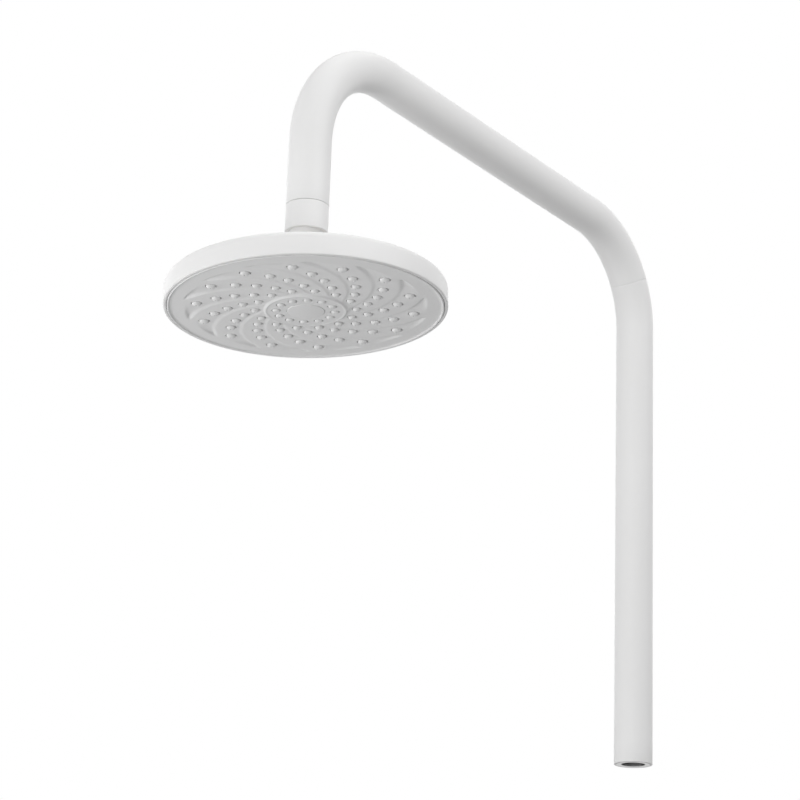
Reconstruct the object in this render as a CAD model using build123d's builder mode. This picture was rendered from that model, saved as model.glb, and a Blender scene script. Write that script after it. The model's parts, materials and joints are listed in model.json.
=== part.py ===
from build123d import *
import os
from math import acos, asin, atan2, cos, degrees, hypot, radians, sin, sqrt

os.makedirs("parts", exist_ok=True)

# Upper part of a shower column: a riser, a bent arm and a swivelling rain head.
# Millimetres. The origin is the centre of the riser's lower end, +Z is up and the arm reaches to -Y.

# Pipe
pipe_diameter = 30.0
pipe_wall = 1.5
riser_height = 359.0
rear_bend_radius = 76.0
front_bend_radius = 79.5
arm_rise = 2.2
arm_reach = 430.0
outlet_height = 318.3
joint_turn = 30.0
seam_chamfer = 0.4
braze_gap = 0.1

# Joint sleeve in the rear bend and threaded bush in the riser's foot
sleeve_length = 12.0
sleeve_wall = 1.2
sleeve_gap = 0.35
inlet_bush_length = 20.0
inlet_bore = 18.6
inlet_depth = 14.0
inlet_waterway = 14.0
inlet_seal_thickness = 2.0
inlet_relief = 0.5
seal_squeeze_gap = 0.1

# Ball joint
collar_height = 20.0
collar_seam = 0.25
collar_edge = 0.5
ball_gap = 0.05
bore_step = 0.35
mouth_step = 0.5
mouth_land = 0.5
thread_gap = 0.1
collar_wall = 1.85
skirt_wall = 1.45
skirt_clearance = 0.4
seat_wall = 3.3
seat_cover = 1.8
seat_gap = 0.5
seat_seal_section = 1.4
flat_margin = 1.0
ball_waterway = 9.0
tilt_stop = 22.0
stud_thread = 16.0
stud_thread_length = 13.0
stud_shoulder = 15.5
head_lean = 2.5

# Outlet nipple and its flow regulator
nipple_waterway = 16.0
nipple_shoulder = 3.0
nipple_depth = 16.0
regulator_height = 5.0
regulator_edge = 1.2
regulator_ports = 8
regulator_port = 2.0
regulator_port_circle = 10.0
regulator_knob_diameter = 4.0
regulator_knob_height = 2.0
regulator_seal_section = 1.4

# Head casing
head_diameter = 194.0
head_drop = 60.0
rim_height = 16.5
rim_round = 5.0
lip_width = 2.2
lip_round = 0.8
casing_wall = 2.4
dome_rise = 11.0
boss_diameter = 34.0
boss_blend = 8.0
insert_diameter = 24.0
insert_flange = 30.0
insert_flange_height = 2.5
stud_seal_section = 1.6
filter_thickness = 1.0
filter_hole = 1.6
filter_pitch = 2.6
post_diameter = 8.0
post_root = 1.2
plate_screw_count = 6
plate_screw_circle = 168.0
plate_screw_shank = 3.0
plate_screw_head = 5.6
plate_screw_head_height = 1.6
plate_screw_length = 9.0

# Face stack: face plate, nozzle mat, chamber plate
face_gap = 0.35
face_setback = 0.4
face_crown = 1.6
face_back = 3.6
hub_diameter = 56.0
hub_stand = 0.8
mat_thickness = 1.6
mat_margin = 4.0
chamber_plate_thickness = 2.5
chamber_margin = 2.6
chamber_seal_section = 2.2
centre_cap_diameter = 26.0
centre_cap_thickness = 1.2
centre_cap_gap = 0.15
centre_screw_shank = 4.0
centre_screw_head = 8.0
centre_screw_head_height = 2.0
centre_boss_diameter = 10.0
centre_boss_height = 6.0
centre_boss_floor = 1.5
centre_screw_bite = 3.0

# Nozzles: a centre ring, and curved rows that lie on arcs set off from the head's axis
ring_count = 12
ring_radius = 20.0
ring_phase = 11.7
row_count = 14
row_radii = (34.5, 43.3, 53.1, 63.0, 74.3)
row_phase = 9.9
row_arc_radius = 64.3
row_arc_offset = 47.8
nozzle_width = 5.8
nozzle_growth = 0.034
nozzle_gap = 1.1
nozzle_stand = 0.6
jet_bore = 1.0
feed_bore = 2.4
channel_inner = 31.0
channel_outer = 84.0
channel_half_width = 4.6
channel_depth_inner = 0.5
channel_depth_outer = 2.1
tool_reach = 10.0

# Worked out from the sizes above
pipe_radius = pipe_diameter / 2
bore_radius = pipe_radius - pipe_wall
rise = radians(arm_rise)
arm_run = (arm_reach - front_bend_radius * (1 + sin(rise)) - rear_bend_radius * (1 - sin(rise))) / cos(rise)
collar_bottom = outlet_height - collar_height
collar_bore = pipe_radius - collar_wall
seat_sphere = collar_bore - bore_step
ball_radius = seat_sphere - ball_gap
mouth_radius = ball_radius - mouth_step
pivot_height = collar_bottom + mouth_land + sqrt(seat_sphere**2 - mouth_radius**2)
nipple_radius = collar_bore - thread_gap
skirt_bore = nipple_radius - skirt_wall
seat_radius = skirt_bore - thread_gap
skirt_bottom = pivot_height + sqrt((ball_radius + skirt_clearance) ** 2 - skirt_bore**2)
seat_bore = seat_radius - seat_wall
seat_top = pivot_height + sqrt(seat_sphere**2 - seat_bore**2) + seat_cover
nipple_ceiling = seat_top + seat_gap
regulator_floor = nipple_ceiling + nipple_shoulder
regulator_radius = nipple_waterway / 2 + regulator_edge
nipple_top = outlet_height + nipple_depth

lean = radians(head_lean)
pivot = Vector(0, -arm_reach, pivot_height)
head_plane = Plane(pivot, x_dir=(cos(lean), 0, sin(lean)), z_dir=(-sin(lean), 0, cos(lean)))
head_section = Plane(pivot, x_dir=head_plane.x_dir, z_dir=-head_plane.y_dir)
head_axis = Axis(pivot, head_plane.z_dir)
outlet_section = Plane((0, -arm_reach, 0), x_dir=(1, 0, 0), z_dir=(0, -1, 0))
outlet_axis = Axis((0, -arm_reach, 0), (0, 0, 1))
riser_section = Plane.XZ
head_radius = head_diameter / 2
mouth_of_head = head_radius - lip_width
face_radius = mouth_of_head - face_gap
rim = -head_drop
face_edge = rim + face_setback
mat_bottom = rim + face_back
mat_top = mat_bottom + mat_thickness
plate_top = mat_top + chamber_plate_thickness
shoulder = -stud_shoulder
boss_radius = boss_diameter / 2
dome_top = rim + rim_height + dome_rise
dome_slope = dome_rise / (head_radius - boss_radius)
insert_radius = insert_diameter / 2
stud_end = shoulder - stud_thread_length


def dome_underside(radius):
    """Height of the casing's inner roof at a radius."""
    return rim + rim_height + (head_radius - radius) * dome_slope - casing_wall


def face_level(radius):
    """Height of the crowned face at a radius."""
    return face_edge - face_crown * (1 - (radius / face_radius) ** 2)


def channel_floor(radius):
    """Height of a channel's floor, which runs deeper towards the rim."""
    share = (radius - channel_inner) / (channel_outer - channel_inner)
    depth = channel_depth_inner + share * (channel_depth_outer - channel_depth_inner)
    return face_level(radius) + depth


def row_angle(radius):
    """Angle of a nozzle of the first row, from the law of cosines on the row's arc."""
    side = radius**2 + row_arc_offset**2 - row_arc_radius**2
    from_centre = degrees(acos(side / (2 * radius * row_arc_offset)))
    return row_phase + arc_bearing + from_centre


def width_at(radius):
    """Nozzle width at a radius: the outer ones are larger."""
    return nozzle_width + nozzle_growth * max(0, radius - row_radii[0])


# The bearing of the arc's centre that puts the first nozzle of a row at the row's phase
first_side = row_radii[0] ** 2 + row_arc_offset**2 - row_arc_radius**2
arc_bearing = -degrees(acos(first_side / (2 * row_radii[0] * row_arc_offset)))

# One entry for each ring of nozzles: its radius, its first angle and how many
nozzle_rings = [(ring_radius, ring_phase, ring_count)]
for row_radius in row_radii:
    nozzle_rings.append((row_radius, row_angle(row_radius), row_count))


def nozzle_tip(radius):
    """Height of a nozzle's tip, just proud of the surface that it stands in."""
    if radius < hub_diameter / 2:
        return face_level(radius) - hub_stand - nozzle_stand
    return channel_floor(radius) - nozzle_stand


def end_edge(piece, point, radius):
    """The circular edge of a radius that lies nearest to a point."""
    circles = piece.edges().filter_by(GeomType.CIRCLE)
    fitting = circles.filter_by(lambda edge: abs(edge.radius - radius) < 0.01)
    return fitting.sort_by(lambda edge: (edge.arc_center - point).length)[0]


# Riser tube: straight from its foot, then the first part of the rear bend
with BuildLine(Plane.YZ) as riser_route:
    Line((0, 0), (0, riser_height))
    riser_bend = JernArc((0, riser_height), (0, 1), rear_bend_radius, joint_turn)
joint_point = riser_bend @ 1
joint_heading = riser_bend % 1
with BuildPart() as riser_tube:
    with BuildSketch(Plane.XY):
        Circle(pipe_radius)
        Circle(bore_radius, mode=Mode.SUBTRACT)
    sweep(path=riser_route.wires()[0])
    chamfer(end_edge(riser_tube, joint_point, pipe_radius), seam_chamfer)
riser_tube.part.label = "riser_tube"
export_step(riser_tube.part, "parts/riser_tube.step")

# Arm tube: the rest of the rear bend, the straight run, the front bend and the outlet leg
with BuildLine(Plane.YZ) as arm_route:
    rear_bend = JernArc(joint_point, joint_heading, rear_bend_radius, 90 - arm_rise - joint_turn)
    run_end = rear_bend @ 1 + (rear_bend % 1) * arm_run
    Line(rear_bend @ 1, run_end)
    front_bend = JernArc(run_end, rear_bend % 1, front_bend_radius, 90 + arm_rise)
    leg_end = Vector(0, -arm_reach, outlet_height)
    Line(front_bend @ 1, leg_end)
with BuildPart() as arm_tube:
    with BuildSketch(Plane(joint_point, x_dir=(1, 0, 0), z_dir=joint_heading)):
        Circle(pipe_radius)
        Circle(bore_radius, mode=Mode.SUBTRACT)
    sweep(path=arm_route.wires()[0])
    chamfer(end_edge(arm_tube, joint_point, pipe_radius), seam_chamfer)
    chamfer(end_edge(arm_tube, leg_end, pipe_radius), seam_chamfer)
arm_tube.part.label = "arm_tube"
export_step(arm_tube.part, "parts/arm_tube.step")

# Joint sleeve: a short ring brazed inside both tubes across the seam
joint_plane = Plane(joint_point, x_dir=(1, 0, 0), z_dir=joint_heading)
with BuildPart() as joint_sleeve:
    with BuildSketch(joint_plane.offset(-sleeve_length / 2)):
        Circle(bore_radius - sleeve_gap)
        Circle(bore_radius - sleeve_gap - sleeve_wall, mode=Mode.SUBTRACT)
    extrude(amount=sleeve_length)
joint_sleeve.part.label = "joint_sleeve"
export_step(joint_sleeve.part, "parts/joint_sleeve.step")

# Inlet bush: the threaded foot of the riser, with a shoulder and a relief for its sealing washer
inlet_wall_end = inlet_depth - inlet_seal_thickness - seal_squeeze_gap
with BuildPart() as inlet_bush:
    with BuildSketch(riser_section):
        with BuildLine():
            Polyline(
                (inlet_bore / 2, 0),
                (bore_radius - braze_gap, 0),
                (bore_radius - braze_gap, inlet_bush_length),
                (inlet_waterway / 2, inlet_bush_length),
                (inlet_waterway / 2, inlet_depth),
                (inlet_bore / 2 + inlet_relief, inlet_depth),
                (inlet_bore / 2 + inlet_relief, inlet_wall_end),
                (inlet_bore / 2, inlet_wall_end),
                close=True,
            )
        make_face()
    revolve(axis=Axis.Z)
    chamfer(end_edge(inlet_bush, Vector(0, 0, 0), inlet_bore / 2), seam_chamfer)
inlet_bush.part.label = "inlet_bush"
export_step(inlet_bush.part, "parts/inlet_bush.step")

with BuildPart() as inlet_seal:
    with BuildSketch(Plane.XY.offset(inlet_depth - inlet_seal_thickness)):
        Circle(inlet_bore / 2 + inlet_relief - seal_squeeze_gap)
        Circle(inlet_waterway / 2 - seal_squeeze_gap, mode=Mode.SUBTRACT)
    extrude(amount=inlet_seal_thickness)
inlet_seal.part.label = "inlet_seal"
export_step(inlet_seal.part, "parts/inlet_seal.step")

# Outlet nipple: brazed into the arm's end, threaded outside for the collar and cupped for the seat
seal_groove = seat_seal_section - seat_gap + seal_squeeze_gap
seal_radius = seat_bore + seat_wall / 2
groove_half = seat_seal_section / 2 + seal_squeeze_gap
with BuildPart() as outlet_nipple:
    with BuildSketch(outlet_section):
        with BuildLine():
            Polyline(
                (skirt_bore, skirt_bottom),
                (nipple_radius, skirt_bottom),
                (nipple_radius, outlet_height),
                (bore_radius - braze_gap, outlet_height),
                (bore_radius - braze_gap, nipple_top),
                (regulator_radius + thread_gap, nipple_top),
                (regulator_radius + thread_gap, regulator_floor),
                (nipple_waterway / 2, regulator_floor),
                (nipple_waterway / 2, nipple_ceiling),
                (seal_radius - groove_half, nipple_ceiling),
                (seal_radius - groove_half, nipple_ceiling + seal_groove),
                (seal_radius + groove_half, nipple_ceiling + seal_groove),
                (seal_radius + groove_half, nipple_ceiling),
                (skirt_bore, nipple_ceiling),
                close=True,
            )
        make_face()
    revolve(axis=outlet_axis)
outlet_nipple.part.label = "outlet_nipple"
export_step(outlet_nipple.part, "parts/outlet_nipple.step")

# Seat seal: the ring that the nipple presses on the ball seat
with BuildPart() as seat_seal:
    with BuildSketch(outlet_section):
        with Locations((seal_radius, seat_top + seal_squeeze_gap + seat_seal_section / 2)):
            Circle(seat_seal_section / 2)
    revolve(axis=outlet_axis)
seat_seal.part.label = "seat_seal"
export_step(seat_seal.part, "parts/seat_seal.step")

# Flow regulator: a ported disc in the nipple's pocket, with its ring seal above
regulator_plane = Plane((0, -arm_reach, regulator_floor), x_dir=(1, 0, 0), z_dir=(0, 0, 1))
with BuildPart() as flow_regulator:
    with BuildSketch(regulator_plane):
        Circle(regulator_radius)
        with PolarLocations(regulator_port_circle / 2, regulator_ports):
            Circle(regulator_port / 2, mode=Mode.SUBTRACT)
    extrude(amount=regulator_height)
    with BuildSketch(regulator_plane.offset(regulator_height)):
        Circle(regulator_knob_diameter / 2)
    extrude(amount=regulator_knob_height)
flow_regulator.part.label = "flow_regulator"
export_step(flow_regulator.part, "parts/flow_regulator.step")

regulator_seal_radius = regulator_radius - regulator_seal_section / 2
regulator_seal_height = regulator_floor + regulator_height + regulator_seal_section / 2
with BuildPart() as regulator_seal:
    with BuildSketch(outlet_section):
        with Locations((regulator_seal_radius, regulator_seal_height)):
            Circle(regulator_seal_section / 2)
    revolve(axis=outlet_axis)
regulator_seal.part.label = "regulator_seal"
export_step(regulator_seal.part, "parts/regulator_seal.step")

# Swivel collar: screwed on the nipple, flush with the pipe, with the ball's lower seat at its mouth
with BuildPart() as swivel_collar:
    with BuildSketch(outlet_section):
        with BuildLine():
            Line((mouth_radius, collar_bottom), (pipe_radius, collar_bottom))
            Line((pipe_radius, collar_bottom), (pipe_radius, outlet_height - collar_seam))
            Line((pipe_radius, outlet_height - collar_seam), (collar_bore, outlet_height - collar_seam))
            Line((collar_bore, outlet_height - collar_seam), (collar_bore, pivot_height))
            Line((collar_bore, pivot_height), (seat_sphere, pivot_height))
            CenterArc(
                (0, pivot_height),
                seat_sphere,
                0,
                -degrees(acos(mouth_radius / seat_sphere)),
            )
            Line((mouth_radius, collar_bottom + mouth_land), (mouth_radius, collar_bottom))
        make_face()
    revolve(axis=outlet_axis)
    chamfer(end_edge(swivel_collar, Vector(0, -arm_reach, collar_bottom), pipe_radius), collar_edge)
    chamfer(end_edge(swivel_collar, leg_end, pipe_radius), seam_chamfer)
swivel_collar.part.label = "swivel_collar"
export_step(swivel_collar.part, "parts/swivel_collar.step")

# Ball seat: the ring that holds the ball down in the collar and turns with it
seat_low = sqrt(seat_sphere**2 - seat_radius**2)
seat_high = sqrt(seat_sphere**2 - seat_bore**2)
seat_middle = (asin(seat_radius / seat_sphere) + asin(seat_bore / seat_sphere)) / 2
with BuildPart() as ball_seat:
    with BuildSketch(outlet_section):
        with BuildLine():
            ThreePointArc(
                (seat_radius, pivot_height + seat_low),
                (seat_sphere * sin(seat_middle), pivot_height + seat_sphere * cos(seat_middle)),
                (seat_bore, pivot_height + seat_high),
            )
            Line((seat_bore, pivot_height + seat_high), (seat_bore, seat_top))
            Line((seat_bore, seat_top), (seat_radius, seat_top))
            Line((seat_radius, seat_top), (seat_radius, pivot_height + seat_low))
        make_face()
    revolve(axis=outlet_axis)
ball_seat.part.label = "ball_seat"
export_step(ball_seat.part, "parts/ball_seat.step")

# Ball stud: a bored ball on a wide neck, threaded below its shoulder
# The neck is as wide as the collar's mouth lets it be at the tilt where the two meet.
flat_radius = seat_bore - flat_margin
ball_flat = sqrt(ball_radius**2 - flat_radius**2)
mouth_reach = hypot(mouth_radius, pivot_height - collar_bottom)
mouth_angle = atan2(mouth_radius, pivot_height - collar_bottom)
neck_radius = mouth_reach * sin(mouth_angle - radians(tilt_stop))
neck_start = -sqrt(ball_radius**2 - neck_radius**2)
stud_waterway = ball_waterway / 2
with BuildPart() as ball_stud:
    with BuildSketch(head_section):
        with BuildLine():
            Line((stud_waterway, ball_flat), (flat_radius, ball_flat))
            ThreePointArc((flat_radius, ball_flat), (ball_radius, 0), (neck_radius, neck_start))
            Line((neck_radius, neck_start), (neck_radius, shoulder))
            Line((neck_radius, shoulder), (stud_thread / 2, shoulder))
            Line((stud_thread / 2, shoulder), (stud_thread / 2, stud_end))
            Line((stud_thread / 2, stud_end), (stud_waterway, stud_end))
            Line((stud_waterway, stud_end), (stud_waterway, ball_flat))
        make_face()
    revolve(axis=head_axis)
ball_stud.part.label = "ball_stud"
export_step(ball_stud.part, "parts/ball_stud.step")

# Boss insert: the metal thread in the casing's boss, held up by its flange
insert_bottom = dome_underside(boss_radius) - insert_flange_height
insert_top = shoulder - seal_squeeze_gap
stud_groove = stud_seal_section / 2
with BuildPart() as boss_insert:
    with BuildSketch(head_section):
        with BuildLine():
            Polyline(
                (stud_thread / 2 + thread_gap, insert_bottom),
                (insert_flange / 2, insert_bottom),
                (insert_flange / 2, insert_bottom + insert_flange_height),
                (insert_radius - thread_gap, insert_bottom + insert_flange_height),
                (insert_radius - thread_gap, insert_top),
                (stud_thread / 2 + thread_gap + stud_seal_section, insert_top),
                (stud_thread / 2 + thread_gap + stud_seal_section, insert_top - stud_seal_section),
                (stud_thread / 2 + thread_gap, insert_top - stud_seal_section),
                close=True,
            )
        make_face()
    revolve(axis=head_axis)
boss_insert.part.label = "boss_insert"
export_step(boss_insert.part, "parts/boss_insert.step")

with BuildPart() as stud_seal:
    with BuildSketch(head_section):
        with Locations((stud_thread / 2 + thread_gap + stud_groove, insert_top - stud_groove)):
            Circle(stud_groove - thread_gap / 2)
    revolve(axis=head_axis)
stud_seal.part.label = "stud_seal"
export_step(stud_seal.part, "parts/stud_seal.step")

# Head filter: a drilled disc under the stud's end, inside the insert
with BuildPart() as head_filter:
    with BuildSketch(head_plane.offset(stud_end - filter_thickness)):
        Circle(stud_thread / 2)
        with HexLocations(filter_pitch / 2, 3, 3):
            Circle(filter_hole / 2, mode=Mode.SUBTRACT)
    extrude(amount=filter_thickness)
head_filter.part.label = "head_filter"
export_step(head_filter.part, "parts/head_filter.step")

# Head casing: upright rim, low cone and boss, open at the face
with BuildPart() as head_casing:
    with BuildSketch(head_section):
        with BuildLine():
            Polyline(
                (mouth_of_head, rim),
                (head_radius, rim),
                (head_radius, rim + rim_height),
                (boss_radius, dome_top),
                (boss_radius, shoulder),
                (insert_radius, shoulder),
                (insert_radius, dome_underside(insert_flange / 2)),
                (insert_flange / 2, dome_underside(insert_flange / 2)),
                (mouth_of_head, dome_underside(mouth_of_head)),
                close=True,
            )
        make_face()
    revolve(axis=head_axis)
    corner_point = pivot + head_plane.z_dir * (rim + rim_height)
    fillet(end_edge(head_casing, corner_point, head_radius), rim_round)
    fillet(end_edge(head_casing, pivot + head_plane.z_dir * dome_top, boss_radius), boss_blend)
    fillet(end_edge(head_casing, pivot + head_plane.z_dir * rim, head_radius), lip_round)
    # Posts that the chamber plate's screws go into
    post_height = dome_underside(plate_screw_circle / 2) - plate_top + post_root
    with BuildSketch(head_plane.offset(plate_top)):
        with PolarLocations(plate_screw_circle / 2, plate_screw_count):
            Circle(post_diameter / 2)
    extrude(amount=post_height)
    with BuildSketch(head_plane.offset(plate_top)):
        with PolarLocations(plate_screw_circle / 2, plate_screw_count):
            Circle(plate_screw_shank / 2 + thread_gap / 2)
    extrude(amount=plate_screw_length - chamber_plate_thickness + seal_squeeze_gap, mode=Mode.SUBTRACT)
head_casing.part.label = "head_casing"
export_step(head_casing.part, "parts/head_casing.step")

# Chamber plate: feeds each nozzle from the water chamber above it
chamber_radius = mouth_of_head - chamber_margin
with BuildPart() as chamber_plate:
    with BuildSketch(head_plane.offset(mat_top)):
        Circle(chamber_radius)
        for radius, phase, count in nozzle_rings:
            with PolarLocations(radius, count, start_angle=phase):
                Circle(feed_bore / 2, mode=Mode.SUBTRACT)
        with PolarLocations(plate_screw_circle / 2, plate_screw_count):
            Circle(plate_screw_shank / 2 + thread_gap / 2, mode=Mode.SUBTRACT)
    extrude(amount=chamber_plate_thickness)
    with BuildSketch(head_plane.offset(plate_top)):
        Circle(centre_boss_diameter / 2)
    extrude(amount=centre_boss_height)
    with BuildSketch(head_plane.offset(mat_top)):
        Circle(centre_screw_shank / 2 + thread_gap / 2)
    extrude(amount=chamber_plate_thickness + centre_boss_height - centre_boss_floor, mode=Mode.SUBTRACT)
    with BuildSketch(head_plane.offset(mat_top)):
        with PolarLocations(plate_screw_circle / 2, plate_screw_count):
            Circle(plate_screw_head / 2 + thread_gap)
    extrude(amount=plate_screw_head_height, mode=Mode.SUBTRACT)
chamber_plate.part.label = "chamber_plate"
export_step(chamber_plate.part, "parts/chamber_plate.step")

# Plate screws: their heads sit in the chamber plate and their shanks in the casing's posts
with BuildPart() as plate_screws:
    with BuildSketch(head_plane.offset(mat_top)):
        with PolarLocations(plate_screw_circle / 2, plate_screw_count):
            Circle(plate_screw_head / 2)
    extrude(amount=plate_screw_head_height)
    with BuildSketch(head_plane.offset(mat_top + plate_screw_head_height)):
        with PolarLocations(plate_screw_circle / 2, plate_screw_count):
            Circle(plate_screw_shank / 2)
    extrude(amount=plate_screw_length - plate_screw_head_height)
plate_screws.part.label = "plate_screws"
export_step(plate_screws.part, "parts/plate_screws.step")

# Chamber seal: the ring between the chamber plate's edge and the casing
chamber_seal_radius = chamber_radius + chamber_margin / 2
with BuildPart() as chamber_seal:
    with BuildSketch(head_section):
        with Locations((chamber_seal_radius, mat_top + chamber_plate_thickness / 2)):
            Circle(chamber_seal_section / 2)
    revolve(axis=head_axis)
chamber_seal.part.label = "chamber_seal"
export_step(chamber_seal.part, "parts/chamber_seal.step")

# Nozzle mat: one flexible sheet with a nub for every nozzle, each with its own jet
with BuildPart() as nozzle_mat:
    with BuildSketch(head_plane.offset(mat_bottom)):
        Circle(chamber_radius - mat_margin)
    extrude(amount=mat_thickness)
    for radius, phase, count in nozzle_rings:
        with BuildSketch(head_plane.offset(nozzle_tip(radius))):
            with PolarLocations(radius, count, start_angle=phase):
                Circle((width_at(radius) - nozzle_gap / 2) / 2)
        extrude(amount=mat_bottom - nozzle_tip(radius))
    for radius, phase, count in nozzle_rings:
        with BuildSketch(head_plane.offset(nozzle_tip(radius))):
            with PolarLocations(radius, count, start_angle=phase):
                Circle(jet_bore / 2)
        extrude(amount=mat_top - nozzle_tip(radius), mode=Mode.SUBTRACT)
    with BuildSketch(head_plane.offset(mat_bottom)):
        Circle(centre_screw_shank / 2 + thread_gap)
        with PolarLocations(plate_screw_circle / 2, plate_screw_count):
            Circle(plate_screw_head / 2)
    extrude(amount=mat_thickness, mode=Mode.SUBTRACT)
nozzle_mat.part.label = "nozzle_mat"
export_step(nozzle_mat.part, "parts/nozzle_mat.step")

# One channel's outline: a band along the row's arc, between the hub and the rim, on one side only
with BuildSketch() as channel_outline:
    with Locations(Rot(Z=row_phase + arc_bearing) * Pos(X=row_arc_offset)):
        Circle(row_arc_radius + channel_half_width)
        Circle(row_arc_radius - channel_half_width, mode=Mode.SUBTRACT)
    Circle(channel_outer, mode=Mode.INTERSECT)
    Circle(channel_inner, mode=Mode.SUBTRACT)
    with Locations(Rot(Z=row_phase + arc_bearing)):
        Rectangle(2 * head_diameter, head_diameter, align=(Align.CENTER, Align.MIN), mode=Mode.INTERSECT)

# The channels' tool: all outlines, as deep as the sloping floor
below_face = rim - tool_reach
with BuildPart() as channels:
    with BuildSketch(head_plane.offset(below_face)):
        with PolarLocations(0, row_count):
            add(channel_outline.sketch)
    extrude(amount=mat_bottom - below_face)
    with BuildSketch(head_section):
        with BuildLine():
            Polyline(
                (0, below_face),
                (face_radius, below_face),
                (face_radius, channel_floor(channel_outer)),
                (channel_outer, channel_floor(channel_outer)),
                (channel_inner, channel_floor(channel_inner)),
                (0, channel_floor(channel_inner)),
                close=True,
            )
        make_face()
    revolve(axis=head_axis, mode=Mode.INTERSECT)

# Face plate: crowned, with a raised hub, curved channels and a hole round each nozzle
half_radius = face_radius / 2
with BuildPart() as face_plate:
    with BuildSketch(head_section):
        with BuildLine():
            ThreePointArc(
                (0, face_level(0)),
                (half_radius, face_level(half_radius)),
                (face_radius, face_edge),
            )
            Line((face_radius, face_edge), (face_radius, mat_bottom))
            Line((face_radius, mat_bottom), (0, mat_bottom))
            Line((0, mat_bottom), (0, face_level(0)))
        make_face()
    revolve(axis=head_axis)
    with BuildSketch(head_plane.offset(face_level(0) - hub_stand)):
        Circle(hub_diameter / 2)
    extrude(amount=hub_stand + face_crown)
    add(channels.part, mode=Mode.SUBTRACT)
    for radius, phase, count in nozzle_rings:
        with BuildSketch(head_plane.offset(below_face)):
            with PolarLocations(radius, count, start_angle=phase):
                Circle((width_at(radius) + nozzle_gap / 2) / 2)
        extrude(amount=mat_bottom - below_face, mode=Mode.SUBTRACT)
    cap_floor = face_level(0) - hub_stand + centre_cap_thickness
    with BuildSketch(head_plane.offset(below_face)):
        Circle(centre_cap_diameter / 2)
    extrude(amount=cap_floor - below_face, mode=Mode.SUBTRACT)
    with BuildSketch(head_plane.offset(cap_floor)):
        Circle(centre_screw_head / 2 + thread_gap)
    extrude(amount=centre_screw_head_height, mode=Mode.SUBTRACT)
    with BuildSketch(head_plane.offset(cap_floor)):
        Circle(centre_screw_shank / 2 + thread_gap)
    extrude(amount=mat_bottom - cap_floor, mode=Mode.SUBTRACT)
face_plate.part.label = "face_plate"
export_step(face_plate.part, "parts/face_plate.step")

# Centre screw and the bare cap that hides it
with BuildPart() as centre_screw:
    with BuildSketch(head_plane.offset(cap_floor)):
        Circle(centre_screw_head / 2)
    extrude(amount=centre_screw_head_height)
    with BuildSketch(head_plane.offset(cap_floor + centre_screw_head_height)):
        Circle(centre_screw_shank / 2)
    extrude(amount=plate_top + centre_screw_bite - cap_floor - centre_screw_head_height)
centre_screw.part.label = "centre_screw"
export_step(centre_screw.part, "parts/centre_screw.step")

with BuildPart() as centre_cap:
    with BuildSketch(head_plane.offset(cap_floor - centre_cap_thickness)):
        Circle(centre_cap_diameter / 2 - centre_cap_gap)
    extrude(amount=centre_cap_thickness)
    chamfer(centre_cap.edges().sort_by(head_axis)[0], centre_cap_gap)
centre_cap.part.label = "centre_cap"
export_step(centre_cap.part, "parts/centre_cap.step")

print("pivot height", round(pivot_height, 3), "arm run", round(arm_run, 2))
print("joint point", joint_point, "leg start", front_bend @ 1)
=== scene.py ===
# %% [markdown]
# The top of a shower column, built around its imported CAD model. The CAD model is the frame: it says where each piece
# is and how it moves. This script adds the finishes, and it stands finer meshes in for the pieces that the eye
# follows most closely, which are the bent pipes, the collar and the rain head.

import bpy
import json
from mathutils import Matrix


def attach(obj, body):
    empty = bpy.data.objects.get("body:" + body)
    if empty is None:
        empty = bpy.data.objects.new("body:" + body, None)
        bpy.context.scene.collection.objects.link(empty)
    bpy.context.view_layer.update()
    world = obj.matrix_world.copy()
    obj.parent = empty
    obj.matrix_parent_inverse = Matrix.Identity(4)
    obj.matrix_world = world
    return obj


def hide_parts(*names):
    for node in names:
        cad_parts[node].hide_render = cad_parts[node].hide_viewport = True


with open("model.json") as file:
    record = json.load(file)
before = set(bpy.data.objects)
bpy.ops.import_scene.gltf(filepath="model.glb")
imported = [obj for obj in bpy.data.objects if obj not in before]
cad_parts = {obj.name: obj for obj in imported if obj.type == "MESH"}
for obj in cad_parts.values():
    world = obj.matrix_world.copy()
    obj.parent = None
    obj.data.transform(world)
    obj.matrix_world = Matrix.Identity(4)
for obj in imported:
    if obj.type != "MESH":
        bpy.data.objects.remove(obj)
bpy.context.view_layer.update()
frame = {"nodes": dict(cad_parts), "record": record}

# %% Tools
import json
from math import acos, atan2, ceil, cos, hypot, pi, radians, sin, tan

import bmesh
import bpy
import numpy as np
from mathutils import Matrix, Vector
from mathutils.geometry import delaunay_2d_cdt

scene = bpy.context.scene
mm = 0.001

# %% [markdown]
# The photograph was taken from below and from the right with a long lens. A fit to the nozzles and to the pipes'
# edges gives the camera's place and its three turns. Building its axes from those turns keeps the numbers readable.

# %% Camera
camera_place = Vector((1.0623, -1.7274, -0.3650))
heading, pitch, roll = radians(36.979), radians(18.020), radians(-1.879)
ahead = Vector((-sin(heading) * cos(pitch), cos(heading) * cos(pitch), sin(pitch)))
level_right = Vector((cos(heading), sin(heading), 0))
level_up = level_right.cross(ahead)
camera_right = level_right * cos(roll) - level_up * sin(roll)
camera_up = level_right * sin(roll) + level_up * cos(roll)
lens = bpy.data.cameras.new("camera")
lens.lens = 117.67
lens.sensor_width = 36
camera = bpy.data.objects.new("camera", lens)
scene.collection.objects.link(camera)
turn = Matrix((camera_right, camera_up, -ahead)).transposed()
camera.matrix_world = Matrix.Translation(camera_place) @ turn.to_4x4()
scene.camera = camera
scene.view_settings.view_transform = "Standard"
print("camera looks along", [round(c, 3) for c in ahead])

# %% [markdown]
# Shader maths reads best as plain Python. A small class wraps a socket, so that an expression such as 1 - mask adds
# its Math nodes by itself. Every other node comes from one method, which sets the node's options first and then
# its sockets.


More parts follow.
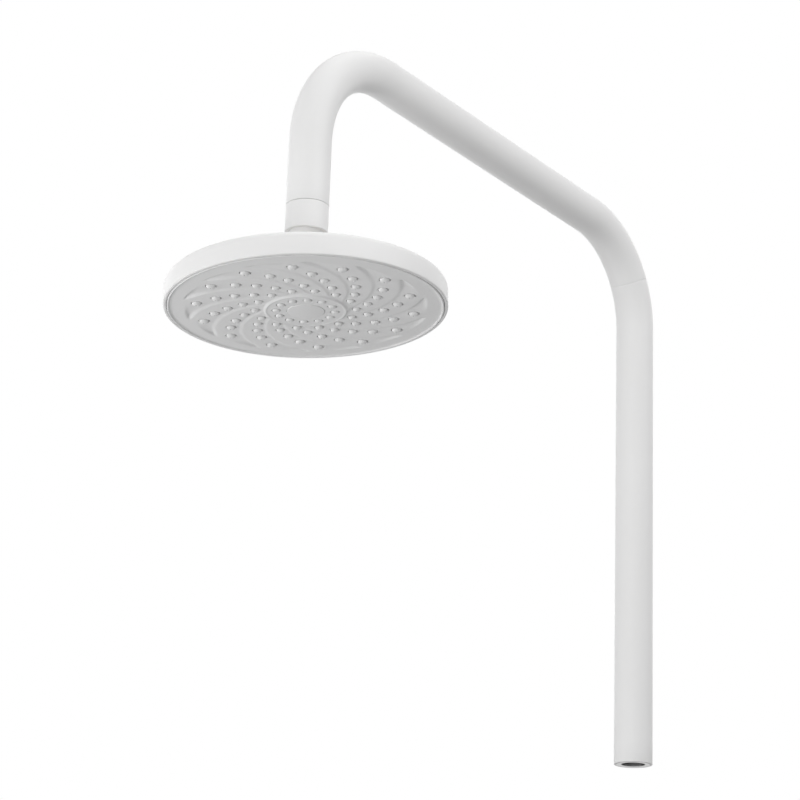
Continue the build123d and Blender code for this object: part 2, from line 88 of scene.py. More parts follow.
# %% Node helpers
class Value:
    """A node's output that can stand in an expression."""

    def __init__(self, tree, socket):
        self.tree, self.socket = tree, socket

    def maths(self, operation, first, second):
        return self.tree.node("ShaderNodeMath", {"operation": operation}, {0: first, 1: second})

    def __add__(self, other):
        return self.maths("ADD", self, other)

    __radd__ = __add__

    def __mul__(self, other):
        return self.maths("MULTIPLY", self, other)

    __rmul__ = __mul__

    def __sub__(self, other):
        return self.maths("SUBTRACT", self, other)

    def __rsub__(self, other):
        return self.maths("SUBTRACT", other, self)

    def __rtruediv__(self, other):
        return self.maths("DIVIDE", other, self)

    def most(self, other):
        return self.maths("MAXIMUM", self, other)


class Tree:
    """Fills one node tree. All nodes come from its node method."""

    def __init__(self, tree):
        self.tree = tree

    def node(self, kind, settings=None, sockets=None, output=0):
        made = self.tree.nodes.new(kind)
        for name, value in (settings or {}).items():
            setattr(made, name, value)
        for name, value in (sockets or {}).items():
            if isinstance(value, Value):
                self.tree.links.new(value.socket, made.inputs[name])
            else:
                made.inputs[name].default_value = value
        return Value(self, made.outputs[output]) if made.outputs else None

    def mix(self, share, one, two):
        """A colour between two others."""
        return self.node("ShaderNodeMix", {"data_type": "RGBA"}, {0: share, 6: one, 7: two}, output=2)


def grey(shade, warm=0.0):
    """An opaque colour close to grey."""
    return (shade * (1 + warm), shade, shade * (1 - warm), 1)


def shader_tree(owner):
    owner.use_nodes = True
    owner.node_tree.nodes.clear()
    return Tree(owner.node_tree)


# %% [markdown]
# The photograph's studio is a white one. The object hangs well above a pale floor, soft lamps stand all round it, and
# the backdrop is plain white. White is what the camera and the glossy reflections see of the world. The light that
# the world gives is a darker grey, so that pale paint keeps its shading.

# %% World
def direct_rays(tree):
    """1 for what the camera sees, straight or through a reflection or clear matter, and 0 for plain light."""
    path = tree.node("ShaderNodeLightPath").socket.node.outputs
    return Value(tree, path["Is Camera Ray"]).most(Value(tree, path["Is Glossy Ray"])).most(
        Value(tree, path["Is Transmission Ray"]))


world = bpy.data.worlds.new("studio")
scene.world = world
sky = shader_tree(world)
ambient = sky.node("ShaderNodeBackground", None, {"Color": grey(1.0), "Strength": 0.26})
backdrop = sky.node("ShaderNodeBackground", None, {"Color": grey(1.0), "Strength": 1.0})
sky.node("ShaderNodeOutputWorld", None,
         {"Surface": sky.node("ShaderNodeMixShader", None, {0: direct_rays(sky), 1: ambient, 2: backdrop})})
print("world: ambient 0.26, backdrop 1")


# %% Mesh helper
def add_object(name, mesh):
    made = bpy.data.objects.new(name, mesh)
    scene.collection.objects.link(made)
    return made


# %% [markdown]
# The floor is white paper, far below the object. To the camera it is mostly plain white light with a share of its real
# shading, so that it stays pale and still holds the object's shadow. The share fades with distance, and at its edge
# the paper is as white as the backdrop, so that no edge shows. Light that bounces off it sees only the paper.

# %% Floor
floor_height, floor_half = -1.30, 9.0
floor_mesh = bpy.data.meshes.new("floor")
floor_mesh.from_pydata(
    [(x * floor_half, y * floor_half, floor_height) for x, y in ((-1, -1), (1, -1), (1, 1), (-1, 1))],
    [], [(0, 1, 2, 3)])
floor = add_object("floor", floor_mesh)
floor_paint = bpy.data.materials.new("floor paper")
paper = shader_tree(floor_paint)
spot = paper.node("ShaderNodeTexCoord", None, None, output=3)
distance = paper.node("ShaderNodeVectorMath", {"operation": "LENGTH"},
                      {0: paper.node("ShaderNodeVectorMath", {"operation": "MULTIPLY"}, {0: spot, 1: (1, 1, 0)})},
                      output=1)
whiteness = paper.node("ShaderNodeMapRange", {"interpolation_type": "SMOOTHSTEP"},
                       {"Value": distance, "From Min": 0.4, "From Max": 7.0, "To Min": 0.72, "To Max": 1.0})
plain = paper.node("ShaderNodeBsdfPrincipled", None,
                   {"Base Color": grey(0.62), "Roughness": 0.9, "Specular IOR Level": 0.1})
glow = paper.node("ShaderNodeEmission", None, {"Color": grey(1.0), "Strength": 1.0})
pale = paper.node("ShaderNodeMixShader", None, {0: whiteness, 1: plain, 2: glow})
paper.node("ShaderNodeOutputMaterial", None,
           {"Surface": paper.node("ShaderNodeMixShader", None, {0: direct_rays(paper), 1: plain, 2: pale})})
floor_mesh.materials.append(floor_paint)


# %% [markdown]
# The face is lit from low down in front and a little from the left, the rims and the pipes from higher up. Three
# weaker lamps behind keep the back pale. The powers come from a fit of how bright the pipes, the rim and the face
# are, and no lamp shows to the camera.

# %% Lamps
def soft_lamp(name, place, aim, width, height, power):
    """A rectangular lamp that faces a point."""
    light = bpy.data.lights.new(name, "AREA")
    light.shape = "RECTANGLE"
    light.size, light.size_y, light.energy = width, height, power
    lamp = add_object(name, light)
    lamp.location = place
    lamp.rotation_mode = "QUATERNION"
    lamp.rotation_quaternion = (aim - lamp.location).to_track_quat("-Z", "Y")
    lamp.visible_camera = False
    return lamp


def lamp_place(turn_from_camera, height_angle, distance=2.0):
    """A place round the object: a turn to the right of the camera and an angle above the object, in degrees."""
    flat = Vector((-ahead.x, -ahead.y, 0)).normalized()
    turned = flat * cos(radians(turn_from_camera)) + level_right * sin(radians(turn_from_camera))
    return middle + distance * (turned * cos(radians(height_angle)) + Vector((0, 0, sin(radians(height_angle)))))


middle = Vector((0, -0.25, 0.25))
for name, place, width, power in [
    ("low front", lamp_place(-14, -20), 1.5, 10.0),
    ("near left", Vector((-0.8, -1.0, -0.2)), 0.6, 5.4),
    ("upper left", lamp_place(-30, 20), 1.1, 8.0),
    ("high left", lamp_place(-90, 50), 1.1, 2.6),
    ("front right", lamp_place(30, 20), 1.1, 7.8),
    ("upper right", lamp_place(60, 35), 1.1, 10.0),
    ("right", lamp_place(90, 20), 1.1, 3.2),
    ("back left", lamp_place(-135, 20), 1.1, 3.0),
    ("back", lamp_place(180, 20), 1.1, 3.0),
    ("back right", lamp_place(135, 20), 1.1, 3.0),
    ("top", Vector((-0.1, -0.1, 2.2)), 1.6, 10.0),
]:
    lamp = soft_lamp(name, place, middle, width, width, power)
    print(name, "lamp at", [round(c, 2) for c in lamp.location])


# %% [markdown]
# The pipes are steel tube with a glossy white paint. Sprayed paint is never quite even: it has a faint orange peel
# and tiny changes of gloss. Both come from noise on Object coordinates, in metres, so their size is real.


# %% Finishes
def finish(name, colour, roughness, drift=0.0, gloss_drift=0.0, drift_scale=20.0, grain_scale=0.0, grain=0.0,
           metal=0.0, coat=0.0, streak=None, specular=0.5):
    """A material whose colour, gloss and surface change a little from place to place."""
    material = bpy.data.materials.new(name)
    tree = shader_tree(material)
    place = tree.node("ShaderNodeTexCoord", None, None, output=3)
    if streak:
        place = tree.node("ShaderNodeMapping", None, {"Vector": place, "Scale": streak})
    cloud = tree.node("ShaderNodeTexNoise", None, {"Vector": place, "Scale": drift_scale, "Detail": 3.0})
    dark = tuple(c * (1 - drift) for c in colour[:3]) + (1,)
    sockets = {
        "Base Color": tree.mix(cloud, dark, colour),
        "Roughness": roughness + gloss_drift * (cloud - 0.5),
        "Metallic": metal,
        "Coat Weight": coat,
        "Coat Roughness": 0.12,
        "Specular IOR Level": specular,
    }
    if grain:
        fine = tree.node("ShaderNodeTexNoise", None, {"Vector": place, "Scale": grain_scale, "Detail": 2.0})
        sockets["Normal"] = tree.node(
            "ShaderNodeBump", None, {"Height": fine, "Strength": grain, "Distance": 0.0002})
    shader = tree.node("ShaderNodeBsdfPrincipled", None, sockets)
    tree.node("ShaderNodeOutputMaterial", None, {"Surface": shader})
    return material


finishes = {
    "white_finish": finish("white paint", grey(0.82, 0.002), 0.4, 0.012, 0.06, 18, 900, 0.05, specular=0.1),
    "white_shell": finish("white shell plastic", grey(0.83, 0.002), 0.4, 0.012, 0.06, 25, 1400, 0.04, specular=0.1),
    "face_grey": finish("pale face plastic", grey(0.83), 0.45, 0.02, 0.06, 40, 1800, 0.05, specular=0.1),
    "nozzle_silicone": finish("nozzle silicone", grey(0.83), 0.45, 0.03, 0.08, 120, 2500, 0.08, specular=0.2),
    "grey_plastic": finish("grey plastic", grey(0.33), 0.5, 0.05, 0.1, 60, 1800, 0.1),
    "seal_rubber": finish("seal rubber", grey(0.03), 0.6, 0.2, 0.1, 90, 2500, 0.15),
    "brass": finish("turned brass", (0.72, 0.55, 0.28, 1), 0.3, 0.08, 0.12, 60, 900, 0.1, metal=1.0,
                    streak=(1, 1, 30)),
    "steel": finish("turned steel", grey(0.56), 0.3, 0.08, 0.12, 60, 900, 0.1, metal=1.0, streak=(1, 1, 30)),
}
for part in frame["record"]["subparts"]:
    slots = frame["nodes"][part["node"]].data.materials
    slots.clear()
    slots.append(finishes[part["material_slot"]])
print(len(finishes), "finishes on", len(frame["nodes"]), "CAD nodes")


# %% [markdown]
# The two pipes follow one line: up, round a bend, along the arm, round a second bend and down. A pipe is a circle
# swept along a line, so Geometry Nodes make it, from a path, a radius and a number of sides. Solidify gives the wall
# and Bevel breaks the sharp ends, and both ends meet in a fine groove, as the real ones do.

# %% Pipe path
pipe_radius, pipe_wall = 15 * mm, 1.5 * mm
riser_height, arm_reach, outlet_height = 359 * mm, 430 * mm, 318.3 * mm
rear_bend, front_bend = 76 * mm, 79.5 * mm
arm_rise, joint_turn = radians(2.2), radians(30)
step = radians(1.5)


def bend_points(start, heading_angle, radius, angle):
    """Points along an arc in the YZ plane that turns towards -Y, and the heading at its end."""
    y, z = start
    centre = (y + radius * cos(heading_angle + pi / 2), z + radius * sin(heading_angle + pi / 2))
    count = ceil(angle / step)
    first = heading_angle - pi / 2
    turns = [first + angle * k / count for k in range(count + 1)]
    return [(centre[0] + radius * cos(t), centre[1] + radius * sin(t)) for t in turns], heading_angle + angle


def straight_points(start, end, count):
    return [tuple(a + (b - a) * k / count for a, b in zip(start, end)) for k in range(count + 1)]


riser_line = straight_points((0, 0), (0, riser_height), 24)
lower_arc, joint_heading = bend_points(riser_line[-1], pi / 2, rear_bend, joint_turn)
upper_arc, arm_heading = bend_points(lower_arc[-1], joint_heading, rear_bend, pi / 2 - arm_rise - joint_turn)
arm_run = (arm_reach - front_bend * (1 + sin(arm_rise)) - rear_bend * (1 - sin(arm_rise))) / cos(arm_rise)
run_end = (upper_arc[-1][0] + arm_run * cos(arm_heading), upper_arc[-1][1] + arm_run * sin(arm_heading))
arm_line = straight_points(upper_arc[-1], run_end, 24)
front_arc, outlet_heading = bend_points(run_end, arm_heading, front_bend, pi / 2 + arm_rise)
outlet_line = straight_points(front_arc[-1], (-arm_reach, outlet_height), 6)
riser_path = riser_line + lower_arc[1:]
arm_path = upper_arc + arm_line[1:] + front_arc[1:] + outlet_line[1:]
print("pipe points", len(riser_path), len(arm_path), "arm ends at", [round(c, 4) for c in outlet_line[-1]])

# %% [markdown]
# A Geometry Nodes tree is built like a shader tree. Its inputs have names, and a modifier sets them by the sockets'
# identifiers. The result is read back as a plain mesh, and the modifier goes.


# %% Geometry helpers
def geometry_tree(name, inputs):
    """A new Geometry Nodes tree with one geometry input and output, and named inputs for its sizes."""
    group = bpy.data.node_groups.new(name, "GeometryNodeTree")
    faces = group.interface
    faces.new_socket("Geometry", in_out="INPUT", socket_type="NodeSocketGeometry")
    for label, kind in inputs:
        faces.new_socket(label, in_out="INPUT", socket_type=kind)
    faces.new_socket("Geometry", in_out="OUTPUT", socket_type="NodeSocketGeometry")
    tree = Tree(group)
    entry = tree.node("NodeGroupInput")
    given = {socket.name: Value(tree, socket) for socket in entry.socket.node.outputs}
    return tree, given


def close_tree(tree, shape, material):
    """Ends a tree in real geometry with a material."""
    real = tree.node("GeometryNodeRealizeInstances", None, {0: shape})
    dressed = tree.node("GeometryNodeSetMaterial", None, {"Geometry": real, "Material": material})
    tree.node("NodeGroupOutput", None, {0: dressed})


def add_modifier(owner, group, values):
    """A Geometry Nodes modifier with its inputs set by identifier."""
    modifier = owner.modifiers.new(group.name, "NODES")
    modifier.node_group = group
    for item in group.interface.items_tree:
        if item.in_out == "INPUT" and item.name in values:
            modifier[item.identifier] = values[item.name]
    return modifier


def plain_mesh(owner, name):
    """The owner's evaluated shape as a new object with a plain mesh. The owner goes."""
    depsgraph = bpy.context.evaluated_depsgraph_get()
    mesh = bpy.data.meshes.new_from_object(owner.evaluated_get(depsgraph))
    mesh.name = name
    bpy.data.objects.remove(owner)
    return add_object(name, mesh)


def smooth(piece, sharp_angle=35):
    """Smooth shading, with the edges over an angle left sharp."""
    piece.data.shade_smooth()
    piece.data.set_sharp_from_angle(angle=radians(sharp_angle))
    return piece


def show(piece, body, slot, *nodes):
    """Rides a finished piece on its body and stands it in for CAD nodes."""
    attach(piece, body)
    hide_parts(*nodes)
    print(piece.name, len(piece.data.vertices), "vertices", len(piece.data.polygons), "faces")


# %% Pipe tree
pipe_tree, given = geometry_tree("pipe along a path", [("Radius", "NodeSocketFloat"), ("Sides", "NodeSocketInt")])
line = pipe_tree.node("GeometryNodeMeshToCurve", None, {"Mesh": given["Geometry"]})
ring = pipe_tree.node("GeometryNodeCurvePrimitiveCircle", None,
                      {"Resolution": given["Sides"], "Radius": given["Radius"]})
skin = pipe_tree.node("GeometryNodeCurveToMesh", None, {"Curve": line, "Profile Curve": ring})
close_tree(pipe_tree, skin, finishes["white_finish"])


# %% Pipes
def pipe(name, path):
    mesh = bpy.data.meshes.new(name)
    mesh.from_pydata([(0, y, z) for y, z in path], [(k, k + 1) for k in range(len(path) - 1)], [])
    owner = add_object(name + "_line", mesh)
    add_modifier(owner, pipe_tree.tree, {"Radius": pipe_radius, "Sides": 96})
    wall = owner.modifiers.new("wall", "SOLIDIFY")
    wall.thickness, wall.offset = pipe_wall, -1
    edge = owner.modifiers.new("edge", "BEVEL")
    edge.width, edge.segments, edge.limit_method, edge.angle_limit = 0.4 * mm, 2, "ANGLE", radians(50)
    return smooth(plain_mesh(owner, name))


riser = pipe("riser_pipe", riser_path)
show(riser, "column", "white_finish", "riser_tube")
arm = pipe("arm_pipe", arm_path)
show(arm, "column", "white_finish", "arm_tube")

# %% [markdown]
# Everything round about the outlet is turned: the collar, the casing and the cap. A lathe function takes a closed
# outline in radius and height, rounds its corners and turns it about an axis.


# %% Lathe
def rounded(outline, parts=5):
    """An outline of (radius, height, corner round) with arcs in its corners."""
    points = []
    for k, (x, y, corner) in enumerate(outline):
        here = Vector((x, y))
        if not corner:
            points.append(here)
            continue
        back = (Vector(outline[k - 1][:2]) - here).normalized()
        on = (Vector(outline[(k + 1) % len(outline)][:2]) - here).normalized()
        half = acos(max(-1, min(1, back.dot(on)))) / 2
        centre = here + (back + on).normalized() * corner / sin(half)
        reach = corner / tan(half)
        start, end = here + back * reach - centre, here + on * reach - centre
        turn_by = atan2(start.x * end.y - start.y * end.x, start.dot(end))
        for n in range(parts + 1):
            a = turn_by * n / parts
            points.append(centre + Vector((start.x * cos(a) - start.y * sin(a),
                                           start.x * sin(a) + start.y * cos(a))))
    return points


def lathe(name, outline, place, material, sides=144):
    """A ring with a closed outline, turned about its own Z and put in place. Millimetres."""
    rings = len(outline)
    angles = [2 * pi * k / sides for k in range(sides)]
    points = [Vector((p.x * cos(a), p.x * sin(a), p.y)) * mm for a in angles for p in outline]
    faces = [(k * rings + n, (k + 1) % sides * rings + n, (k + 1) % sides * rings + (n + 1) % rings,
              k * rings + (n + 1) % rings) for k in range(sides) for n in range(rings)]
    mesh = bpy.data.meshes.new(name)
    mesh.from_pydata([place @ p for p in points], [], faces)
    mesh.materials.append(material)
    mesh.validate()
    return smooth(add_object(name, mesh), 40)


# %% Collar
outlet_place = Matrix.Translation((0, -arm_reach, 0))
pivot_height = 302.512
collar_outline = rounded([
    (12.25, 298.3, 0.2), (15, 298.3, 0.5), (15, 318.05, 0.4), (13.15, 318.05, 0), (13.15, pivot_height, 0),
    (12.8, pivot_height, 0), (12.25, 298.8, 0)], 3)
collar = lathe("collar_ring", collar_outline, outlet_place, finishes["white_finish"], 96)
show(collar, "column", "white_finish", "swivel_collar")

# %% [markdown]
# The head hangs from a ball joint and leans a little to one side, as it does in the photograph. Its pieces are made
# upright about the ball's centre, in millimetres, and one matrix leans them and puts them in place.

# %% Head place
lean = radians(2.5)
head_place = Matrix.Translation((0, -arm_reach, pivot_height * mm)) @ Matrix.Rotation(-lean, 4, "Y")
head_axis = head_place.to_3x3() @ Vector((0, 0, 1))
print("head axis", [round(c, 4) for c in head_axis])

# %% Casing
head_radius, mouth, rim = 97.0, 94.8, -60.0
rim_top, dome_top, boss_radius, shoulder = -43.5, -32.5, 17.0, -15.5
dome_slope = (dome_top - rim_top) / (head_radius - boss_radius)
casing_wall = 2.4


def roof(radius):
    """Height of the casing's inner roof."""
    return rim_top + (head_radius - radius) * dome_slope - casing_wall


casing_outline = rounded([
    (mouth, rim, 0.35), (head_radius, rim, 1.0), (head_radius, rim_top, 5.0), (boss_radius, dome_top, 8.0),
    (boss_radius, shoulder, 0.6), (12.0, shoulder, 0), (12.0, roof(15.0), 0), (15.0, roof(15.0), 0),
    (mouth, roof(mouth), 0)], 7)
casing = lathe("casing_shell", casing_outline, head_place, finishes["white_shell"], 192)
show(casing, "head", "white_shell", "head_casing")

# %% [markdown]
# The face is the busiest piece. Fourteen curved channels run from a raised hub to the rim. Each is steep on its hollow
# side and rises gently on the other, up to the crest of the next one, and each has five nozzles. All fourteen are
# the same, so one sector is made and repeated. The sector is a flat net of triangles, cut round its nozzle holes,
# whose heights follow a rule.

# %% Face sizes
face_radius, face_edge, face_crown, face_back = 94.45, -59.6, 1.6, -56.4
lip_radius, lip_stand = 93.2, 0.85
hub_radius, hub_stand, hub_bead = 28.0, 0.8, 0.32
row_count, row_radii = 14, (34.5, 43.3, 53.1, 63.0, 74.3)
arc_radius, arc_offset, row_phase = 64.3, 47.8, 9.9
ring_count, ring_radius, ring_phase = 12, 20.0, 11.7
cap_radius = 13.0
ring_edge = 24.5
sector_angle = 2 * pi / row_count
sector_points = 24
hole_room, nub_room, hole_round = 0.35, 0.1, 0.25


def ease(low, high, x):
    """A smooth step from 0 at low to 1 at high."""
    t = np.clip((np.asarray(x, float) - low) / (high - low), 0, 1)
    return t * t * (3 - 2 * t)


def from_centre(radius):
    """Angle at the head's axis between an arc's centre and the point where the arc crosses a radius."""
    r = np.asarray(radius, float)
    return np.arccos(np.clip((r**2 + arc_offset**2 - arc_radius**2) / (2 * r * arc_offset), -1, 1))


def row_angle(radius):
    """Bearing of the first row's arc at a radius."""
    return radians(row_phase) - from_centre(row_radii[0]) + from_centre(radius)


def row_pitch(radius):
    """Distance between neighbouring rows, square to them. The hub keeps the pitch of its edge."""
    r = np.maximum(np.asarray(radius, float), hub_radius)
    facing = np.clip((r**2 + arc_radius**2 - arc_offset**2) / (2 * r * arc_radius), -1, 1)
    return r * sector_angle * np.sqrt(1 - facing**2)


def grown(radius):
    """How far along the channel a radius is, from 0 to 1."""
    return np.clip((np.asarray(radius, float) - 31) / 53, 0, 1)


def crest_offset(radius):
    """Distance from a row to the crest on its hollow side."""
    return np.minimum(5.6 + 1.5 * grown(radius) + 6.0 * grown(radius) ** 2, 0.56 * row_pitch(radius))


def slope_width(radius):
    """Width of the steep side."""
    return 1.9 + 1.4 * grown(radius)


def face_level(radius):
    return face_edge - face_crown * (1 - (np.asarray(radius, float) / face_radius) ** 2)


def channel_depth(radius):
    return 0.62 - 0.1 * grown(radius) + 0.95 * ease(71, 82, radius)


def nozzle_width(radius):
    return 5.8 + 0.034 * max(0, radius - row_radii[0])


# %% Face height
def across(radius, angle):
    """Place across the channels, from 0 on a crest to 1 on the next one."""
    pitch = row_pitch(radius)
    offset = (angle - row_angle(radius)) / sector_angle * pitch + crest_offset(radius)
    return np.mod(offset / pitch + 1e-9, 1.0) * pitch


def face_height(x, y):
    """Height of the swirl's surface over a point of the face."""
    radius, angle = np.hypot(x, y), np.arctan2(y, x)
    s = across(radius, angle)
    pitch, steep = row_pitch(radius), slope_width(radius)
    fall = ease(0, 1, s / steep)
    climb = np.clip(1 - (s - 0.8 * steep) / (pitch - 0.8 * steep), 0, 1) ** (1.25 + 1.5 * ease(66, 84, radius))
    end = 84.0 - 3.0 * s / pitch
    along = ease(28.6, 31.5, radius) * (1 - ease(end - 2.0, end, radius))
    hub_side = 1 - ease(hub_radius - 0.6, hub_radius + 0.9, radius)
    hub = (hub_stand + hub_bead * ease(hub_radius - 2.0, hub_radius - 0.9, radius)) * hub_side
    lip = lip_stand * ease(lip_radius - 0.5, lip_radius + 0.2, radius) - 0.4 * ease(
        face_radius - 0.45, face_radius, radius)
    return face_level(radius) - hub - lip + channel_depth(radius) * fall * climb * along


# %% Sector net
hole_sides = 24


def circle(centre, radius):
    return [(centre[0] + radius * cos(2 * pi * k / hole_sides), centre[1] + radius * sin(2 * pi * k / hole_sides))
            for k in range(hole_sides)]


def net(inner_points, lines, holes):
    """Triangles over the area that the lines enclose, with two rings of points round each nozzle hole."""
    points, edges = [], []
    for line in lines:
        edges.extend((len(points) + k, len(points) + k + 1) for k in range(len(line) - 1))
        points.extend(line)
    for centre, radius in holes:
        for loop in (circle(centre, radius), circle(centre, radius + hole_round)):
            edges.extend((len(points) + k, len(points) + (k + 1) % hole_sides) for k in range(hole_sides))
            points.extend(loop)
    points.extend(p for p in inner_points if all(hypot(p[0] - c[0], p[1] - c[1]) > r + 0.75 for c, r in holes))
    spots, _, faces = delaunay_2d_cdt([Vector(p) for p in points], edges, [], 1, 1e-5)[:3]
    spots = np.array([tuple(s) for s in spots])
    kept = []
    for triangle in faces:
        centre_x, centre_y = spots[list(triangle)].mean(0)
        if all(hypot(centre_x - c[0], centre_y - c[1]) > r * cos(pi / hole_sides) for c, r in holes):
            kept.append(tuple(triangle))
    return spots, kept


def sector_solid(name, inner_points, lines, holes, open_radius):
    """A sector of the face, closed but for its seams: front, back, and walls in its holes and at one free edge."""
    spots, faces = net(inner_points, lines, holes)
    heights = face_height(spots[:, 0], spots[:, 1])
    at_hole = np.zeros(len(spots), bool)
    for centre, radius in holes:
        at_hole |= np.hypot(spots[:, 0] - centre[0], spots[:, 1] - centre[1]) < radius + 0.05
    heights[at_hole] += hole_round / 2
    at_free_edge = abs(np.hypot(spots[:, 0], spots[:, 1]) - open_radius) < 0.01
    count = len(spots)
    front = [tuple(reversed(f)) for f in faces]
    back = [tuple(k + count for k in f) for f in faces]
    sides = {(a, b) for f in front for a, b in zip(f, f[1:] + f[:1])}
    walls = [(b, a, a + count, b + count) for a, b in sides
             if (b, a) not in sides and (at_hole[a] and at_hole[b] or at_free_edge[a] and at_free_edge[b])]
    shape = [(x * mm, y * mm, z * mm) for (x, y), z in zip(spots, heights)]
    shape += [(x * mm, y * mm, face_back * mm) for x, y in spots]
    mesh = bpy.data.meshes.new(name)
    mesh.from_pydata(shape, [], front + back + sorted(walls))
    print(name, count * 2, "points")
    return add_object(name, mesh)


# %% Swirl sector
swirl_radii = sorted(set(
    [round(r, 3) for r in np.concatenate([
        np.arange(25.3, 30.6, 0.55), np.arange(31.2, 80.5, 1.5), np.arange(81.0, 85.2, 0.5),
        np.arange(86.5, 92.0, 2.0)])]))
lip_radii = [92.6, 92.9, 93.2, 93.5, 93.8, 94.1, 94.3]
swirl_shares = np.concatenate([np.linspace(0, 0.26, 10), np.linspace(0.31, 0.95, 13)])


def crest_angle(radius):
    """Bearing of the crest at the hollow side of the first row."""
    return float(row_angle(radius) - crest_offset(radius) / row_pitch(radius) * sector_angle)


def polar(radius, angle):
    return (radius * cos(angle), radius * sin(angle))


def sector_arc(radius):
    """A line of even points round a sector, from crest to crest."""
    return [polar(radius, crest_angle(radius) + sector_angle * k / sector_points) for k in range(sector_points + 1)]


side_radii = [ring_edge] + swirl_radii + lip_radii + [face_radius]
near_side = [polar(r, crest_angle(r)) for r in side_radii]
far_side = [polar(r, crest_angle(r) + sector_angle) for r in side_radii]
arcs = [sector_arc(r) for r in [ring_edge] + lip_radii + [face_radius]]
swirl_points = [polar(r, crest_angle(r) + sector_angle * share) for r in swirl_radii for share in swirl_shares[1:]]
swirl_holes = [(polar(r, float(row_angle(r))), nozzle_width(r) / 2 + hole_room) for r in row_radii]
swirl = sector_solid("swirl_sector", swirl_points, [near_side, far_side] + arcs, swirl_holes, face_radius)

# %% [markdown]
# The hub's ring of twelve nozzles repeats every thirty degrees, so it gets a sector of its own. Both kinds of sector
# share one spacing of points on the circle where they meet, which is a twelfth and a fourteenth of 336 points.

# %% Ring sector
ring_angle = 2 * pi / ring_count
spacing = sector_angle / sector_points
steps = round((radians(ring_phase - 15) - crest_angle(ring_edge)) / spacing)
ring_start = crest_angle(ring_edge) + steps * spacing
pocket_radius = cap_radius + 0.15
ring_radii = [14.2, 15.4, 16.6, 17.8, 19.0, 20.2, 21.4, 22.6, 23.6]


def ring_line(angle):
    return [polar(r, angle) for r in [pocket_radius] + ring_radii + [ring_edge]]


ring_sides = round(ring_angle / spacing)
ring_lines = [ring_line(ring_start), ring_line(ring_start + ring_angle)]
for radius in (pocket_radius, ring_edge):
    ring_lines.append([polar(radius, ring_start + spacing * k) for k in range(ring_sides + 1)])
ring_points = [polar(r, ring_start + ring_angle * share) for r in ring_radii for share in np.arange(1, 18) / 18]
ring_holes = [(polar(ring_radius, radians(ring_phase)), nozzle_width(ring_radius) / 2 + hole_room)]
ring = sector_solid("ring_sector", ring_points, ring_lines, ring_holes, pocket_radius)

# %% Turned copies
copies, given = geometry_tree("copies turned about the axis", [("Count", "NodeSocketInt")])
spots = copies.node("GeometryNodePoints", None, {"Count": given["Count"]})
index = copies.node("GeometryNodeInputIndex")
angle = index * (2 * pi / given["Count"])
turned = copies.node("ShaderNodeCombineXYZ", None, {"Z": angle})
repeated = copies.node("GeometryNodeInstanceOnPoints", None,
                       {"Points": spots, "Instance": given["Geometry"], "Rotation": turned})
close_tree(copies, repeated, finishes["face_grey"])
add_modifier(swirl, copies.tree, {"Count": row_count})
add_modifier(ring, copies.tree, {"Count": ring_count})
halves = [plain_mesh(swirl, "swirl"), plain_mesh(ring, "hub_ring")]


# %% Face
def joined(name, pieces, place, material):
    """One mesh of several in one material, with their shared points merged, put in place."""
    shape = bmesh.new()
    for piece in pieces:
        shape.from_mesh(piece.data)
    bmesh.ops.remove_doubles(shape, verts=shape.verts, dist=2e-6)
    bmesh.ops.transform(shape, matrix=place, verts=shape.verts)
    for facet in shape.faces:
        facet.material_index = 0
    mesh = bpy.data.meshes.new(name)
    shape.to_mesh(mesh)
    open_edges = sum(not edge.is_manifold for edge in shape.edges)
    shape.free()
    print(name, "open edges", open_edges)
    mesh.materials.append(material)
    for piece in pieces:
        bpy.data.objects.remove(piece)
    return smooth(add_object(name, mesh), 50)


face = joined("face_swirl", halves, head_place, finishes["face_grey"])
show(face, "head", "face_grey", "face_plate")

# %% [markdown]
# A nozzle is a soft round nub, and all 82 come from one. Points carry each nub's place and size, and a tree puts a
# nub on each point and then lets down its foot to the sheet that all nubs grow from.

# %% One nub
nub_outline = [(0.0, -0.45), (0.36, -0.45), (0.4, -1.0), (0.52, -1.05), (1.1, -1.02), (1.65, -0.93), (2.1, -0.78),
               (2.45, -0.56), (2.72, -0.25), (2.89, 0.12), (2.98, 0.55), (3.0, 0.95), (3.0, 1.0)]
nub_sides = 24
nub_points, nub_faces = [(0, 0, nub_outline[0][1])], []
for x, z in nub_outline[1:]:
    nub_points += [(x * cos(2 * pi * k / nub_sides), x * sin(2 * pi * k / nub_sides), z) for k in range(nub_sides)]
for k in range(nub_sides):
    after = (k + 1) % nub_sides
    nub_faces.append((0, 1 + after, 1 + k))
    for n in range(len(nub_outline) - 2):
        low, high = 1 + n * nub_sides, 1 + (n + 1) * nub_sides
        nub_faces.append((low + k, low + after, high + after, high + k))
nub_faces.append(tuple(1 + (len(nub_outline) - 2) * nub_sides + k for k in range(nub_sides)))
nub_mesh = bpy.data.meshes.new("nub")
nub_mesh.from_pydata(nub_points, [], nub_faces)
foot = nub_mesh.attributes.new("foot", "FLOAT", "POINT")
foot.data.foreach_set("value", [float(p[2] > 0.95) for p in nub_points])
nub = add_object("nub", nub_mesh)

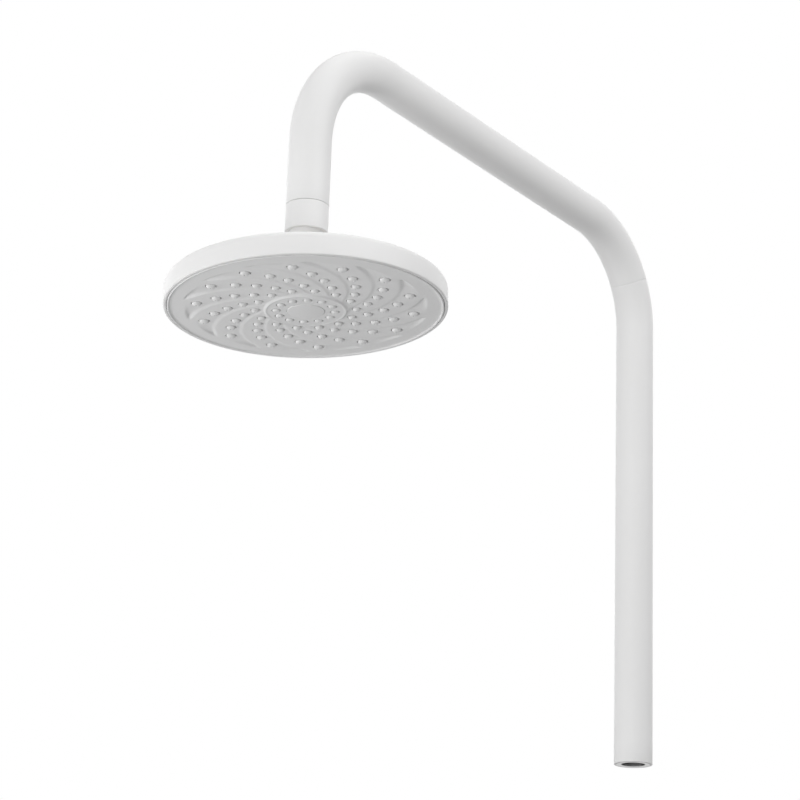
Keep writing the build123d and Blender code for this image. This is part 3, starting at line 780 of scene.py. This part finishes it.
# %% Nub places
nub_spots, nub_sizes = [], []
for radius, phase, count in [(ring_radius, radians(ring_phase), ring_count)] + [
        (r, float(row_angle(r)), row_count) for r in row_radii]:
    on_hub = radius == ring_radius
    wide = (nozzle_width(radius) / 2 - nub_room) / 3
    for k in range(count):
        x, y = polar(radius, phase + 2 * pi * k / count)
        nub_spots.append((x, y, float(face_height(x, y))))
        nub_sizes.append((wide, wide, 1.05 if on_hub else 1.6))
spot_mesh = bpy.data.meshes.new("nub_spots")
spot_mesh.from_pydata(nub_spots, [], [])
size = spot_mesh.attributes.new("size", "FLOAT_VECTOR", "POINT")
size.data.foreach_set("vector", [c for s in nub_sizes for c in s])
nubs = add_object("nub_spots", spot_mesh)
print(len(nub_spots), "nubs")

# %% Nub tree
sheet_low, sheet_high = -56.4, -54.8
nub_tree, given = geometry_tree("nubs on points", [("Nub", "NodeSocketObject"), ("Foot height", "NodeSocketFloat")])
source = nub_tree.node("GeometryNodeObjectInfo", None, {"Object": given["Nub"]}, output=4)
scale = nub_tree.node("GeometryNodeInputNamedAttribute", {"data_type": "FLOAT_VECTOR"}, {"Name": "size"})
planted = nub_tree.node("GeometryNodeInstanceOnPoints", None,
                        {"Points": given["Geometry"], "Instance": source, "Scale": scale})
grown_nubs = nub_tree.node("GeometryNodeRealizeInstances", None, {0: planted})
is_foot = nub_tree.node("GeometryNodeInputNamedAttribute", {"data_type": "FLOAT"}, {"Name": "foot"})
place = nub_tree.node("GeometryNodeInputPosition")
parts = nub_tree.node("ShaderNodeSeparateXYZ", None, {0: place})
down = nub_tree.node("ShaderNodeCombineXYZ", None, {
    "X": Value(nub_tree, parts.socket.node.outputs["X"]), "Y": Value(nub_tree, parts.socket.node.outputs["Y"]),
    "Z": given["Foot height"]})
let_down = nub_tree.node("GeometryNodeSetPosition", None,
                         {"Geometry": grown_nubs, "Selection": is_foot, "Position": down})
close_tree(nub_tree, let_down, finishes["nozzle_silicone"])
add_modifier(nubs, nub_tree.tree, {"Nub": nub, "Foot height": sheet_low + 0.6})
planted_nubs = plain_mesh(nubs, "nubs")
bpy.data.objects.remove(nub)
sheet_outline = [Vector(p) for p in ((2.1, sheet_low), (85.2, sheet_low), (85.2, sheet_high), (2.1, sheet_high))]
sheet = lathe("nub_sheet", sheet_outline, Matrix.Scale(1 / mm, 4), finishes["nozzle_silicone"], 96)
mat = joined("nozzle_nubs", [planted_nubs, sheet], head_place @ Matrix.Scale(mm, 4), finishes["nozzle_silicone"])
show(mat, "head", "nozzle_silicone", "nozzle_mat")

# %% [markdown]
# A plain cap covers the screw at the face's middle. It is left bare.

# %% Cap
cap_outline = rounded([(0.02, -62.4, 0), (cap_radius - 0.05, -62.35, 0.5), (cap_radius - 0.05, -60.0, 0),
                       (0.02, -60.0, 0)], 4)
cap = lathe("cap_disc", cap_outline, head_place, finishes["face_grey"], 96)
show(cap, "head", "face_grey", "centre_cap")
